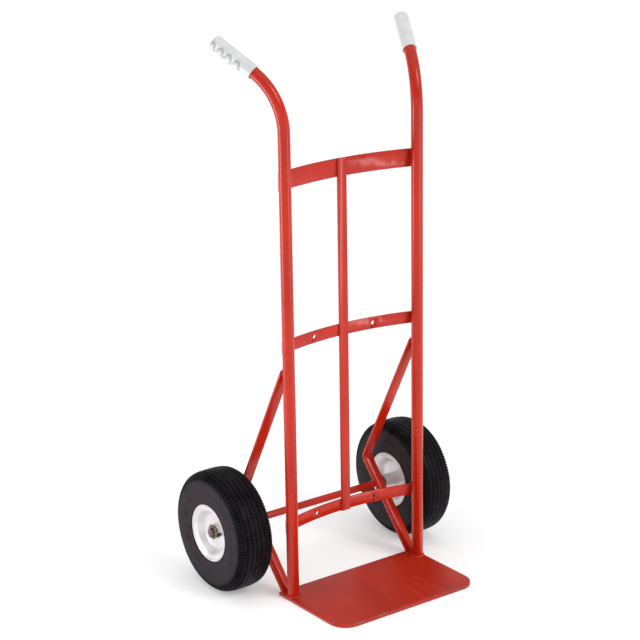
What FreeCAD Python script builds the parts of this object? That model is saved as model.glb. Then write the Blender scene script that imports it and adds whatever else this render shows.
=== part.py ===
import FreeCAD, Part
import math
import os
import re
import Sketcher

# Two-wheeled hand truck: welded tube frame, toe plate, axle and two pneumatic wheels.
# +X is to the right of someone who faces the toe plate, +Y to the back, +Z up, in millimetres.
# The origin is on the floor, in the middle of the whole truck's length and width.
# Heights are measured from the floor, and setbacks from the plane of the uprights' centre lines.

SIZES = {
    # uprights and handles
    "tube_diameter": 25.4,
    "tube_wall": 2.0,
    "upright_spacing": 336.0,
    "handle_bend_height": 998.0,
    "handle_bend_radius": 140.0,
    "handle_bend_angle": 57.5,
    "handle_splay_angle": 26.0,
    "handle_straight": 102.0,
    "grip_diameter": 30.8,
    "grip_end_wall": 4.0,
    "grip_end_round": 7.0,
    "grip_bore_clearance": 0.1,
    "grip_waves": 4,
    "grip_wave_radius": 12.6,
    "grip_wave_drop": 5.8,
    "grip_wave_pitch": 20.0,
    "grip_tip_to_wave": 13.0,
    "grip_turn": 50.0,
    # toe plate
    "plate_width": 363.0,
    "plate_depth": 221.2,
    "plate_thickness": 8.0,
    "plate_back": 33.6,
    "plate_corner_radius": 39.0,
    "plate_edge_round": 3.0,
    # cross members and centre strap
    "bar_thickness": 4.8,
    "bar_setback": 39.2,
    "bar_overlap": 5.0,
    "upper_bar_width": 38.1,
    "narrow_bar_width": 25.4,
    "upper_bar_height": 900.0,
    "middle_bar_height": 553.0,
    "lower_bar_height": 159.5,
    "bolt_hole_diameter": 9.0,
    "bolt_hole_spacing": 152.4,
    "strap_width": 22.0,
    "strap_thickness": 4.8,
    # axle brackets
    "bracket_width": 25.4,
    "bracket_thickness": 4.8,
    "bracket_top_height": 497.0,
    "bracket_vertex_setback": 177.0,
    "bracket_vertex_height": 187.5,
    "bracket_bend_radius": 14.0,
    # axle, washers and split pins
    "axle_diameter": 15.875,
    "axle_setback": 144.7,
    "axle_length": 560.0,
    "axle_chamfer": 1.5,
    "pin_diameter": 3.2,
    "pin_wire_diameter": 2.4,
    "pin_hole_diameter": 3.6,
    "pin_inset": 4.6,
    "pin_leg_angle": 65.0,
    "washer_diameter": 31.0,
    "washer_bore": 16.4,
    "washer_thickness": 2.4,
    "washer_gap": 0.4,
    # wheels: distances along the axle are measured from the tyre's middle plane, outwards
    "wheel_spacing": 484.0,
    "tyre_diameter": 263.0,
    "tyre_width": 86.0,
    "tread_width": 54.0,
    "shoulder_width": 78.0,
    "shoulder_radius": 123.5,
    "sidewall_top_radius": 109.0,
    "sidewall_foot_radius": 90.0,
    "flare_width": 81.0,
    "flare_radius": 71.0,
    "tyre_round": 14.0,
    "hollow_share": 0.87,
    "bead_width": 7.4,
    "bead_gap": 0.4,
    "tube_ring_radius": 88.0,
    "tube_section_radius": 34.0,
    "tube_rubber": 2.0,
    "rim_lip_radius": 61.5,
    "rim_half_width": 41.0,
    "rim_step_radius": 55.5,
    "rim_step_depth": 2.3,
    "dish_edge_radius": 48.5,
    "dish_edge_depth": 4.8,
    "rim_gauge": 2.0,
    "disc_radius": 38.0,
    "disc_offset": 24.0,
    "band_radius": 52.0,
    "hub_diameter": 28.0,
    "hub_bore": 21.0,
    "hub_outer_end": 25.6,
    "bushing_clearance": 0.05,
    "bushing_length": 18.0,
    "bushing_flange_diameter": 27.0,
    "bushing_flange": 2.0,
    "left_valve_clock": 12.0,
    "right_valve_clock": -40.0,
    "valve_diameter": 6.0,
    "valve_hole_clearance": 1.0,
    "valve_offset": 28.0,
    "valve_turn_radius": 37.0,
    "valve_reach": 39.0,
    "valve_cap_diameter": 8.0,
    "valve_cap_length": 9.0,
}

# Expressions of those sizes that several sub-parts share.
HALF_SPACING = "upright_spacing / 2"
TUBE_RADIUS = "tube_diameter / 2"
AXLE_HEIGHT = "tyre_diameter / 2"
TRUCK_MIDDLE = "(axle_setback + tyre_diameter / 2 + plate_back - plate_depth) / 2"
BOW_RADIUS = (
    f"(({HALF_SPACING})^2 + bar_setback^2 - ({TUBE_RADIUS})^2)"
    f" / (2 * (bar_setback - {TUBE_RADIUS}))"
)
UPPER_LEG_ANGLE = (
    f"atan((bracket_vertex_setback - {TUBE_RADIUS})"
    " / (bracket_top_height - bracket_vertex_height))"
)
VERTEX_BEHIND_AXLE = "(bracket_vertex_setback - axle_setback)"
VERTEX_OVER_AXLE = f"(bracket_vertex_height - {AXLE_HEIGHT})"
LOWER_LEG_ANGLE = (
    f"(atan({VERTEX_BEHIND_AXLE} / {VERTEX_OVER_AXLE})"
    " + asin((bracket_thickness + axle_diameter / 2)"
    f" / sqrt({VERTEX_BEHIND_AXLE}^2 + {VERTEX_OVER_AXLE}^2)))"
)
BRACKET_OUTER_FACE = f"({HALF_SPACING} + bracket_width / 2)"
INNER_WASHER_PLACE = f"({BRACKET_OUTER_FACE} + washer_gap)"
HUB_INNER_END = (
    f"({INNER_WASHER_PLACE} + washer_thickness + washer_gap + bushing_flange"
    " - wheel_spacing / 2)"
)
OUTER_WASHER_PLACE = "(wheel_spacing / 2 + hub_outer_end + bushing_flange + washer_gap)"
RIM_SLOPE = "((dish_edge_depth - rim_step_depth) / (rim_step_radius - dish_edge_radius))"
SHEET_RISE = "(rim_gauge / 3)"
BAND_BORE = "(band_radius - rim_gauge)"
BAND_END = (
    "(rim_half_width - dish_edge_depth - rim_gauge"
    f" + {RIM_SLOPE} * ({BAND_BORE} - dish_edge_radius - {SHEET_RISE}))"
)

doc = FreeCAD.newDocument("hand_truck")
sheet = doc.addObject("Spreadsheet::Sheet", "Sizes")
for row, (alias, number) in enumerate(SIZES.items(), start=1):
    sheet.set(f"A{row}", alias)
    sheet.set(f"B{row}", str(number))
    sheet.setAlias(f"B{row}", alias)
probe = doc.addObject("App::FeaturePython", "Probe")
probe.addProperty("App::PropertyFloat", "Result")
doc.recompute()

sub_parts = []


# ---------------------------------------------------------------- sizes and sketches


def formula(text):
    """The expression with each size's name written as a cell of the sheet."""

    def as_cell(word):
        return f"Sizes.{word[0]}" if word[0] in SIZES else word[0]

    return re.sub("[a-z_]+", as_cell, text)


def value(text):
    """What an expression of the sizes comes to, as a plain number."""
    probe.setExpression("Result", formula(text))
    probe.recompute()
    return probe.Result


def bind(item, **properties):
    """Binds an object's properties to expressions of the sizes."""
    for name, text in properties.items():
        item.setExpression(name, formula(text))


def place(item, across="0", setback="0", height="0", rotation=None):
    """Puts a sub-part in the truck's frame and lists it for export."""
    if rotation:
        item.Placement = FreeCAD.Placement(FreeCAD.Vector(), rotation)
    item.setExpression("Placement.Base.x", formula(across))
    item.setExpression("Placement.Base.y", formula(f"{setback} - {TRUCK_MIDDLE}"))
    item.setExpression("Placement.Base.z", formula(height))
    item.Label = item.Name
    sub_parts.append(item)
    return item


def new_body(name):
    return doc.addObject("PartDesign::Body", name)


def new_sketch(body, plane, name):
    """An empty sketch on one of the body's own origin planes."""
    sketch = body.newObject("Sketcher::SketchObject", f"{body.Name}_{name}")
    support = next(item for item in body.Origin.OriginFeatures if item.Role == plane)
    sketch.AttachmentSupport = (support, [""])
    sketch.MapMode = "FlatFace"
    return sketch


def dimension(sketch, kind, places, text):
    """Adds a sketch dimension bound to an expression."""
    number = sketch.addConstraint(Sketcher.Constraint(kind, *places, value(text)))
    sketch.setExpression(f"Constraints[{number}]", formula(text))


def outline(sketch, corners):
    """A closed polygon whose corners, pairs of expressions, are dimensioned from the origin."""
    points = [FreeCAD.Vector(value(across), value(up), 0) for across, up in corners]
    first = sketch.GeometryCount
    count = len(points)
    for here, there in zip(points, points[1:] + points[:1]):
        sketch.addGeometry(Part.LineSegment(here, there), False)
    for number, (across, up) in enumerate(corners):
        line, previous = first + number, first + (number - 1) % count
        sketch.addConstraint(Sketcher.Constraint("Coincident", previous, 2, line, 1))
        dimension(sketch, "DistanceX", (-1, 1, line, 1), across)
        dimension(sketch, "DistanceY", (-1, 1, line, 1), up)


def circle(sketch, radius, across="0", up="0"):
    """A circle whose centre and radius are expressions."""
    centre = FreeCAD.Vector(value(across), value(up), 0)
    number = sketch.addGeometry(Part.Circle(centre, FreeCAD.Vector(0, 0, 1), value(radius)), False)
    dimension(sketch, "DistanceX", (-1, 1, number, 3), across)
    dimension(sketch, "DistanceY", (-1, 1, number, 3), up)
    dimension(sketch, "Radius", (number,), radius)


# ---------------------------------------------------------------- features


def pad(body, sketch, length, both_ways=False):
    feature = body.newObject("PartDesign::Pad", f"{sketch.Name}_pad")
    feature.Profile = sketch
    feature.Midplane = both_ways
    bind(feature, Length=length)
    doc.recompute()
    return feature


def cut_through(body, sketch, length, both_ways=True, backwards=False):
    """A pocket, which has to take material away."""
    before = body.Shape.Volume
    feature = body.newObject("PartDesign::Pocket", f"{sketch.Name}_pocket")
    feature.Profile = sketch
    feature.Midplane = both_ways
    feature.Reversed = backwards
    bind(feature, Length=length)
    doc.recompute()
    if body.Shape.Volume >= before:
        raise RuntimeError(f"{feature.Name} cut nothing")
    return feature


def revolve(body, sketch):
    """A full turn of the sketch about the body's X axis."""
    feature = body.newObject("PartDesign::Revolution", f"{sketch.Name}_turned")
    feature.Profile = sketch
    feature.ReferenceAxis = (sketch, ["H_Axis"])
    feature.Angle = 360
    doc.recompute()
    return feature


def soften(body, kind, size_name, wanted):
    """Fillets or chamfers the edges of the body whose middle point passes the test."""
    base = body.Tip
    edges = [
        f"Edge{number}"
        for number, edge in enumerate(base.Shape.Edges, start=1)
        if wanted(edge, edge.valueAt((edge.FirstParameter + edge.LastParameter) / 2))
    ]
    if not edges:
        raise RuntimeError(f"{body.Name} has no edge to soften")
    feature = body.newObject(f"PartDesign::{kind}", f"{base.Name}_{kind.lower()}")
    feature.Base = (base, edges)
    bind(feature, **{"Radius" if kind == "Fillet" else "Size": size_name})
    doc.recompute()
    return feature


def near(one, other):
    return abs(one - other) < 0.01


# ---------------------------------------------------------------- frame


def make_upright(name, side):
    """A straight tube from the toe plate up, then one bend back and outwards into the handle.
    The body's own X axis is the way the handle leans."""
    body = new_body(name)
    section = new_sketch(body, "XY_Plane", "section")
    circle(section, TUBE_RADIUS)
    circle(section, f"{TUBE_RADIUS} - tube_wall")

    path = new_sketch(body, "XZ_Plane", "path")
    rise = value("handle_bend_height - plate_thickness")
    radius = value("handle_bend_radius")
    turn = math.radians(value("handle_bend_angle"))
    straight = value("handle_straight")
    bend_centre = FreeCAD.Vector(radius, rise, 0)
    bend_end = bend_centre + FreeCAD.Vector(-math.cos(turn), math.sin(turn), 0) * radius
    handle_end = bend_end + FreeCAD.Vector(math.sin(turn), math.cos(turn), 0) * straight
    bend_circle = Part.Circle(bend_centre, FreeCAD.Vector(0, 0, 1), radius)
    post = path.addGeometry(Part.LineSegment(FreeCAD.Vector(), FreeCAD.Vector(0, rise, 0)), False)
    bend = path.addGeometry(Part.ArcOfCircle(bend_circle, math.pi - turn, math.pi), False)
    handle = path.addGeometry(Part.LineSegment(bend_end, handle_end), False)
    path.addConstraint(Sketcher.Constraint("Coincident", post, 1, -1, 1))
    path.addConstraint(Sketcher.Constraint("Vertical", post))
    path.addConstraint(Sketcher.Constraint("Tangent", post, 2, bend, 2))
    path.addConstraint(Sketcher.Constraint("Tangent", bend, 1, handle, 1))
    dimension(path, "DistanceY", (post, 1, post, 2), "handle_bend_height - plate_thickness")
    dimension(path, "Radius", (bend,), "handle_bend_radius")
    dimension(path, "DistanceX", (handle, 1, handle, 2), "handle_straight * sin(handle_bend_angle)")
    dimension(path, "DistanceY", (handle, 1, handle, 2), "handle_straight * cos(handle_bend_angle)")

    tube = body.newObject("PartDesign::AdditivePipe", f"{name}_tube")
    tube.Profile = section
    tube.Spine = (path, ["Edge1", "Edge2", "Edge3"])
    return place(body, f"{side} * {HALF_SPACING}", "0", "plate_thickness", handle_heading(side))


def handle_heading(side):
    """Turns the X axis to the way the handle leans: back, and outwards by the splay angle."""
    return FreeCAD.Rotation(FreeCAD.Vector(0, 0, 1), 90 - side * value("handle_splay_angle"))


def make_grip(name, side):
    """A closed plastic sleeve with finger waves, turned on the handle so that the waves face down,
    forwards and outwards. The body's own X axis is the sleeve's axis, from its mouth outwards, and
    the waves are on its -Z side."""
    body = new_body(name)
    length = "handle_straight + grip_end_wall"
    sleeve = new_sketch(body, "YZ_Plane", "sleeve")
    circle(sleeve, "grip_diameter / 2")
    pad(body, sleeve, length)
    tip = value(length)
    soften(body, "Fillet", "grip_end_round", lambda edge, point: near(point.x, tip))
    for wave in range(SIZES["grip_waves"]):
        bulge = body.newObject("PartDesign::AdditiveSphere", f"{name}_wave{wave + 1}")
        bind(bulge, Radius="grip_wave_radius")
        distance = f"{length} - grip_tip_to_wave - {wave} * grip_wave_pitch"
        bulge.setExpression("Placement.Base.x", formula(distance))
        bulge.setExpression("Placement.Base.z", formula("-grip_wave_drop"))
    doc.recompute()
    bore = new_sketch(body, "YZ_Plane", "bore")
    circle(bore, f"{TUBE_RADIUS} + grip_bore_clearance")
    cut_through(body, bore, "handle_straight", both_ways=False, backwards=True)
    turn = "handle_bend_angle"
    reach = f"handle_bend_radius * (1 - cos({turn}))"
    pitch = FreeCAD.Rotation(FreeCAD.Vector(0, 1, 0), value(turn) - 90)
    roll = FreeCAD.Rotation(FreeCAD.Vector(1, 0, 0), -side * value("grip_turn"))
    return place(
        body,
        f"{side} * ({HALF_SPACING} + {reach} * sin(handle_splay_angle))",
        f"{reach} * cos(handle_splay_angle)",
        f"handle_bend_height + handle_bend_radius * sin({turn})",
        handle_heading(side) * pitch * roll,
    )


def make_cross_member(name, width, height, drilled):
    """A flat bar bowed to the back, whose front face touches the back of both uprights."""
    body = new_body(name)
    plan = new_sketch(body, "XY_Plane", "plan")
    radius = value(BOW_RADIUS)
    thickness = value("bar_thickness")
    half = value(f"{HALF_SPACING} + bar_overlap")
    centre = FreeCAD.Vector(0, value(f"bar_setback - {BOW_RADIUS}"), 0)
    arcs = []
    for face_radius in (radius, radius + thickness):
        lean = math.asin(half / face_radius)
        bow = Part.Circle(centre, FreeCAD.Vector(0, 0, 1), face_radius)
        arc = Part.ArcOfCircle(bow, math.pi / 2 - lean, math.pi / 2 + lean)
        arcs.append(plan.addGeometry(arc, False))
    front, back = arcs
    plan.addConstraint(Sketcher.Constraint("Coincident", front, 3, back, 3))
    plan.addConstraint(Sketcher.Constraint("PointOnObject", front, 3, -2))
    dimension(plan, "DistanceY", (-1, 1, front, 3), f"bar_setback - {BOW_RADIUS}")
    dimension(plan, "Radius", (front,), BOW_RADIUS)
    dimension(plan, "Radius", (back,), f"{BOW_RADIUS} + bar_thickness")
    for end, sign in ((1, 1), (2, -1)):
        front_end = plan.getPoint(front, end)
        back_end = plan.getPoint(back, end)
        cap = plan.addGeometry(Part.LineSegment(front_end, back_end), False)
        plan.addConstraint(Sketcher.Constraint("Coincident", cap, 1, front, end))
        plan.addConstraint(Sketcher.Constraint("Coincident", cap, 2, back, end))
        plan.addConstraint(Sketcher.Constraint("Vertical", cap))
        dimension(plan, "DistanceX", (-1, 1, cap, 1), f"{sign} * ({HALF_SPACING} + bar_overlap)")
    pad(body, plan, width, both_ways=True)
    if drilled:
        drill = new_sketch(body, "XZ_Plane", "holes")
        for sign in (-1, 1):
            circle(drill, "bolt_hole_diameter / 2", f"{sign} * bolt_hole_spacing / 2")
        cut_through(body, drill, "2 * (bar_setback + bar_thickness)")
    return place(body, "0", "0", height)


def make_centre_strap():
    """A narrow flat bar whose back face touches the front of the three bowed bars."""
    body = new_body("centre_strap")
    foot = "lower_bar_height - narrow_bar_width / 2"
    section = new_sketch(body, "XY_Plane", "section")
    half = "strap_width / 2"
    outline(section, [
        (f"-{half}", "-strap_thickness"),
        (half, "-strap_thickness"),
        (half, "0"),
        (f"-{half}", "0"),
    ])
    pad(body, section, f"upper_bar_height + upper_bar_width / 2 - ({foot})")
    back_face = f"bar_setback - {BOW_RADIUS} + sqrt(({BOW_RADIUS})^2 - ({half})^2)"
    return place(body, "0", back_face, foot)


def make_axle_bracket(name, side):
    """A flat bar bent to a V: down and back from the upright, then down and forward over the axle
    to the toe plate. The lower leg rests on the axle."""
    body = new_body(name)
    side_view = new_sketch(body, "YZ_Plane", "side_view")
    upper, lower = UPPER_LEG_ANGLE, LOWER_LEG_ANGLE
    foot = f"bracket_vertex_setback - (bracket_vertex_height - plate_thickness) * tan({lower})"
    mitre = f"bracket_thickness / (1 + cos({upper} + {lower}))"
    outline(side_view, [
        (TUBE_RADIUS, "bracket_top_height"),
        ("bracket_vertex_setback", "bracket_vertex_height"),
        (foot, "plate_thickness"),
        (f"{foot} + bracket_thickness / cos({lower})", "plate_thickness"),
        (
            f"bracket_vertex_setback + {mitre} * (cos({upper}) + cos({lower}))",
            f"bracket_vertex_height + {mitre} * (sin({upper}) - sin({lower}))",
        ),
        (TUBE_RADIUS, f"bracket_top_height + bracket_thickness / sin({upper})"),
    ])
    pad(body, side_view, "bracket_width", both_ways=True)
    vertex = value("bracket_vertex_setback")

    def is_bend(edge, inside):
        bounds = edge.BoundBox
        across_bar = near(bounds.XLength, value("bracket_width"))
        middle = edge.CenterOfMass
        return across_bar and (near(middle.y, vertex) if inside else middle.y > vertex + 1)

    soften(body, "Fillet", "bracket_bend_radius", lambda edge, point: is_bend(edge, inside=True))
    soften(body, "Fillet", "bracket_bend_radius + bracket_thickness",
           lambda edge, point: is_bend(edge, inside=False))
    return place(body, f"{side} * {HALF_SPACING}")


def make_toe_plate():
    """The load plate, flat on the floor, with rounded front corners and eased upper edges."""
    body = new_body("toe_plate")
    plan = new_sketch(body, "XY_Plane", "plan")
    half, front = "plate_width / 2", "plate_back - plate_depth"
    outline(plan, [
        (f"-{half}", front),
        (half, front),
        (half, "plate_back"),
        (f"-{half}", "plate_back"),
    ])
    pad(body, plan, "plate_thickness")
    soften(body, "Fillet", "plate_corner_radius",
           lambda edge, point: near(point.y, value(front)) and near(abs(point.x), value(half)))
    soften(body, "Fillet", "plate_edge_round",
           lambda edge, point: near(point.z, value("plate_thickness")))
    return place(body)


def make_axle():
    """A round rod with chamfered ends and a hole at each end for a split pin."""
    body = new_body("axle")
    section = new_sketch(body, "YZ_Plane", "section")
    circle(section, "axle_diameter / 2")
    pad(body, section, "axle_length", both_ways=True)
    soften(body, "Chamfer", "axle_chamfer",
           lambda edge, point: near(abs(point.x), value("axle_length / 2")))
    holes = new_sketch(body, "XY_Plane", "pin_holes")
    for sign in (-1, 1):
        circle(holes, "pin_hole_diameter / 2", f"{sign} * (axle_length / 2 - pin_inset)")
    cut_through(body, holes, "2 * axle_diameter")
    return place(body, "0", "axle_setback", AXLE_HEIGHT)


def make_washer(name, side, inner_face):
    """A flat washer on the axle, whose nearer face is that far from the truck's middle."""
    body = new_body(name)
    section = new_sketch(body, "YZ_Plane", "section")
    circle(section, "washer_diameter / 2")
    circle(section, "washer_bore / 2")
    pad(body, section, "washer_thickness", both_ways=True)
    return place(body, f"{side} * ({inner_face} + washer_thickness / 2)", "axle_setback", AXLE_HEIGHT)


def make_split_pin(name, side):
    """A split pin through the axle: a shank, an eye on top and two legs bent apart underneath."""
    half_axle = "axle_diameter / 2"
    shank = doc.addObject("Part::Cylinder", f"{name}_shank")
    bind(shank, Radius="pin_diameter / 2", Height="axle_diameter + 2 * pin_diameter")
    shank.setExpression("Placement.Base.z", formula(f"-{half_axle} - pin_diameter"))
    eye = doc.addObject("Part::Torus", f"{name}_eye")
    bind(eye, Radius1="pin_diameter", Radius2="pin_wire_diameter / 2")
    eye.Placement.Rotation = FreeCAD.Rotation(FreeCAD.Vector(0, 1, 0), 90)
    eye.setExpression("Placement.Base.z", formula(f"{half_axle} + 2 * pin_diameter"))
    pieces = [shank, eye]
    for word, sign in (("front", -1), ("back", 1)):
        leg = doc.addObject("Part::Cylinder", f"{name}_{word}_leg")
        bind(leg, Radius="pin_wire_diameter / 2", Height="3 * pin_diameter")
        lean = 180 + sign * value("pin_leg_angle")
        leg.Placement.Rotation = FreeCAD.Rotation(FreeCAD.Vector(1, 0, 0), lean)
        leg.setExpression("Placement.Base.z", formula(f"-{half_axle} - pin_diameter / 2"))
        pieces.append(leg)
    pin = doc.addObject("Part::MultiFuse", name)
    pin.Shapes = pieces
    return place(pin, f"{side} * (axle_length / 2 - pin_inset)", "axle_setback", AXLE_HEIGHT)


# ---------------------------------------------------------------- wheels
# A wheel piece's own X axis is the axle, pointing outwards, and its origin is in the tyre's middle
# plane. Section corners are pairs: distance outwards along the axle, and radius.


def place_on_wheel(item, side, clock_angle=0):
    """Puts a wheel piece on its side of the truck, turned about the axle by the clock angle."""
    outwards = FreeCAD.Rotation(FreeCAD.Vector(0, 0, 1), 0 if side > 0 else 180)
    clock = FreeCAD.Rotation(FreeCAD.Vector(1, 0, 0), clock_angle)
    return place(item, f"{side} * wheel_spacing / 2", "axle_setback", AXLE_HEIGHT, outwards * clock)


def mirrored(outside, inside):
    """A whole section from the outboard halves of its outer and inner surface, each of which
    starts at the tread."""
    def inboard(corners):
        return [(f"-({across})", radius) for across, radius in corners]

    return outside + inside[::-1] + inboard(inside) + inboard(outside)[::-1]


def make_tyre(name, side):
    """The open casing: tread, shoulders, bulging sidewalls and the two beads."""
    body = new_body(name)
    section = new_sketch(body, "XY_Plane", "section")
    outside = [
        ("tread_width / 2", "tyre_diameter / 2"),
        ("shoulder_width / 2", "shoulder_radius"),
        ("tyre_width / 2", "sidewall_top_radius"),
        ("tyre_width / 2", "sidewall_foot_radius"),
        ("flare_width / 2", "flare_radius"),
    ]
    inside = [
        (f"hollow_share * {across}", f"tube_ring_radius + hollow_share * ({radius} - tube_ring_radius)")
        for across, radius in outside
    ]
    heel = f"({BAND_END} - bead_gap)"
    lip = "(rim_half_width - rim_gauge - 3 * bead_gap)"
    bead_outside = [(lip, "rim_lip_radius"), (heel, "band_radius + bead_gap")]
    bead_inside = [
        (f"{heel} - bead_width", "rim_lip_radius"),
        (f"{heel} - bead_width", "band_radius + bead_gap"),
    ]
    outline(section, mirrored(outside + bead_outside, inside + bead_inside))
    revolve(body, section)
    shoulder, widest = value("shoulder_radius - 1"), value("tyre_width / 2")

    def is_outside(edge, point):
        is_ring = isinstance(edge.Curve, Part.Circle)
        return is_ring and (near(abs(point.x), widest) or math.hypot(point.y, point.z) > shoulder)

    soften(body, "Fillet", "tyre_round", is_outside)
    return place_on_wheel(body, side)


def make_inner_tube(name, side):
    """The air tube, a hollow ring."""
    body = new_body(name)
    section = new_sketch(body, "XY_Plane", "section")
    circle(section, "tube_section_radius", "0", "tube_ring_radius")
    circle(section, "tube_section_radius - tube_rubber", "0", "tube_ring_radius")
    revolve(body, section)
    return place_on_wheel(body, side)


def drill_for_valve(body):
    """A hole in along the body's Y axis, where the valve comes through."""
    hole = new_sketch(body, "XZ_Plane", "valve_hole")
    circle(hole, "valve_diameter / 2 + valve_hole_clearance", "valve_offset")
    cut_through(body, hole, "rim_lip_radius", both_ways=False)


def rim_section(sign):
    """Stepped lip, sloping dish wall and flat disc of one stamped half. The sheet's back is its
    front moved towards the tyre's middle plane and a little outwards."""
    front = [
        ("rim_half_width", "rim_lip_radius"),
        ("rim_half_width - rim_step_depth", "rim_step_radius"),
        ("rim_half_width - dish_edge_depth", "dish_edge_radius"),
        ("disc_offset", "disc_radius"),
    ]
    back = [(f"{across} - rim_gauge", f"{radius} + {SHEET_RISE}") for across, radius in front]
    eye = [("disc_offset", "hub_diameter / 2"), ("disc_offset - rim_gauge", "hub_diameter / 2")]
    return [(f"{sign} * ({across})", radius) for across, radius in front + eye + back[::-1]]


def make_rim_half(name, side, sign):
    body = new_body(name)
    section = new_sketch(body, "XY_Plane", "section")
    outline(section, rim_section(sign))
    revolve(body, section)
    if sign > 0:
        drill_for_valve(body)
    return place_on_wheel(body, side, valve_clock(side))


def make_rim_band(name, side):
    """The rolled band between the two halves, which carries both beads of the tyre."""
    body = new_body(name)
    section = new_sketch(body, "XY_Plane", "section")
    outline(section, [
        (BAND_END, "band_radius"),
        (f"-{BAND_END}", "band_radius"),
        (f"-{BAND_END}", BAND_BORE),
        (BAND_END, BAND_BORE),
    ])
    revolve(body, section)
    drill_for_valve(body)
    return place_on_wheel(body, side, valve_clock(side))


def make_hub_sleeve(name, side):
    body = new_body(name)
    section = new_sketch(body, "XY_Plane", "section")
    outline(section, [
        ("hub_outer_end", "hub_diameter / 2"),
        (HUB_INNER_END, "hub_diameter / 2"),
        (HUB_INNER_END, "hub_bore / 2"),
        ("hub_outer_end", "hub_bore / 2"),
    ])
    revolve(body, section)
    return place_on_wheel(body, side)


def make_bushing(name, side, hub_end, outwards):
    """A flanged plain bearing pressed into one end of the hub, running on the axle."""
    body = new_body(name)
    section = new_sketch(body, "XY_Plane", "section")
    bore = "axle_diameter / 2 + bushing_clearance"
    flange_face = f"{hub_end} + {outwards} * bushing_flange"
    inner_end = f"{hub_end} - {outwards} * bushing_length"
    outline(section, [
        (flange_face, "bushing_flange_diameter / 2"),
        (hub_end, "bushing_flange_diameter / 2"),
        (hub_end, "hub_bore / 2"),
        (inner_end, "hub_bore / 2"),
        (inner_end, bore),
        (flange_face, bore),
    ])
    revolve(body, section)
    return place_on_wheel(body, side)


def valve_clock(side):
    """How far round the wheel the valve stands at rest, in degrees from the piece's own Y axis."""
    return value("left_valve_clock" if side < 0 else "right_valve_clock")


def make_valve_stem(name, side):
    """A brass stem that comes in through the dish wall and turns outwards, parallel to the axle."""
    inwards = doc.addObject("Part::Cylinder", f"{name}_inwards")
    bind(inwards, Radius="valve_diameter / 2", Height="band_radius - rim_gauge / 2 - valve_turn_radius")
    inwards.Placement.Rotation = FreeCAD.Rotation(FreeCAD.Vector(1, 0, 0), -90)
    elbow = doc.addObject("Part::Sphere", f"{name}_elbow")
    bind(elbow, Radius="valve_diameter / 2")
    outwards = doc.addObject("Part::Cylinder", f"{name}_outwards")
    bind(outwards, Radius="valve_diameter / 2", Height="valve_reach - valve_offset")
    outwards.Placement.Rotation = FreeCAD.Rotation(FreeCAD.Vector(0, 1, 0), 90)
    for piece in (inwards, elbow, outwards):
        piece.setExpression("Placement.Base.x", formula("valve_offset"))
        piece.setExpression("Placement.Base.y", formula("valve_turn_radius"))
    stem = doc.addObject("Part::MultiFuse", name)
    stem.Shapes = [inwards, elbow, outwards]
    return place_on_wheel(stem, side, valve_clock(side))


def make_valve_cap(name, side):
    """A plain cap pushed over the end of the stem."""
    body = new_body(name)
    section = new_sketch(body, "YZ_Plane", "section")
    circle(section, "valve_cap_diameter / 2", "valve_turn_radius")
    pad(body, section, "valve_cap_length")
    section.setExpression("AttachmentOffset.Base.z", formula("valve_reach - valve_cap_length / 2"))
    doc.recompute()
    bore = new_sketch(body, "YZ_Plane", "bore")
    circle(bore, "valve_diameter / 2", "valve_turn_radius")
    bore.setExpression("AttachmentOffset.Base.z", formula("valve_reach"))
    cut_through(body, bore, "valve_cap_length", both_ways=False)
    return place_on_wheel(body, side, valve_clock(side))


# ---------------------------------------------------------------- the whole truck

make_toe_plate()
make_cross_member("upper_cross_member", "upper_bar_width", "upper_bar_height", drilled=False)
make_cross_member("middle_cross_member", "narrow_bar_width", "middle_bar_height", drilled=True)
make_cross_member("lower_cross_member", "narrow_bar_width", "lower_bar_height", drilled=True)
make_centre_strap()
make_axle()

for word, side in (("left", -1), ("right", 1)):
    make_upright(f"{word}_upright", side)
    make_grip(f"{word}_grip", side)
    make_axle_bracket(f"{word}_axle_bracket", side)
    make_washer(f"{word}_inner_washer", side, INNER_WASHER_PLACE)
    make_washer(f"{word}_outer_washer", side, OUTER_WASHER_PLACE)
    make_split_pin(f"{word}_split_pin", side)
    make_tyre(f"{word}_tyre", side)
    make_inner_tube(f"{word}_inner_tube", side)
    make_rim_half(f"{word}_rim_outer_half", side, 1)
    make_rim_half(f"{word}_rim_inner_half", side, -1)
    make_rim_band(f"{word}_rim_band", side)
    make_hub_sleeve(f"{word}_hub_sleeve", side)
    make_bushing(f"{word}_outer_bushing", side, "hub_outer_end", 1)
    make_bushing(f"{word}_inner_bushing", side, HUB_INNER_END, -1)
    make_valve_stem(f"{word}_valve_stem", side)
    make_valve_cap(f"{word}_valve_cap", side)

doc.recompute()

for item in doc.Objects:
    if {"Invalid", "Error"} & set(item.State):
        raise RuntimeError(f"{item.Name} did not recompute: {item.State}")
for item in sub_parts:
    if item.Shape.isNull() or not item.Shape.isValid() or not item.Shape.Solids:
        raise RuntimeError(f"{item.Label} has no valid solid")

os.makedirs("parts", exist_ok=True)
for item in sub_parts:
    item.Shape.exportStep(f"parts/{item.Label}.step")
    box = item.Shape.BoundBox
    print(
        f"{item.Label:24s} {len(item.Shape.Solids)} solid {item.Shape.Volume:10.0f} mm3"
        f"  x {box.XMin:7.1f} {box.XMax:7.1f}  y {box.YMin:7.1f} {box.YMax:7.1f}"
        f"  z {box.ZMin:7.1f} {box.ZMax:7.1f}"
    )
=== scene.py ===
import math

import bmesh
import bpy
from mathutils import Matrix, Vector


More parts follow.
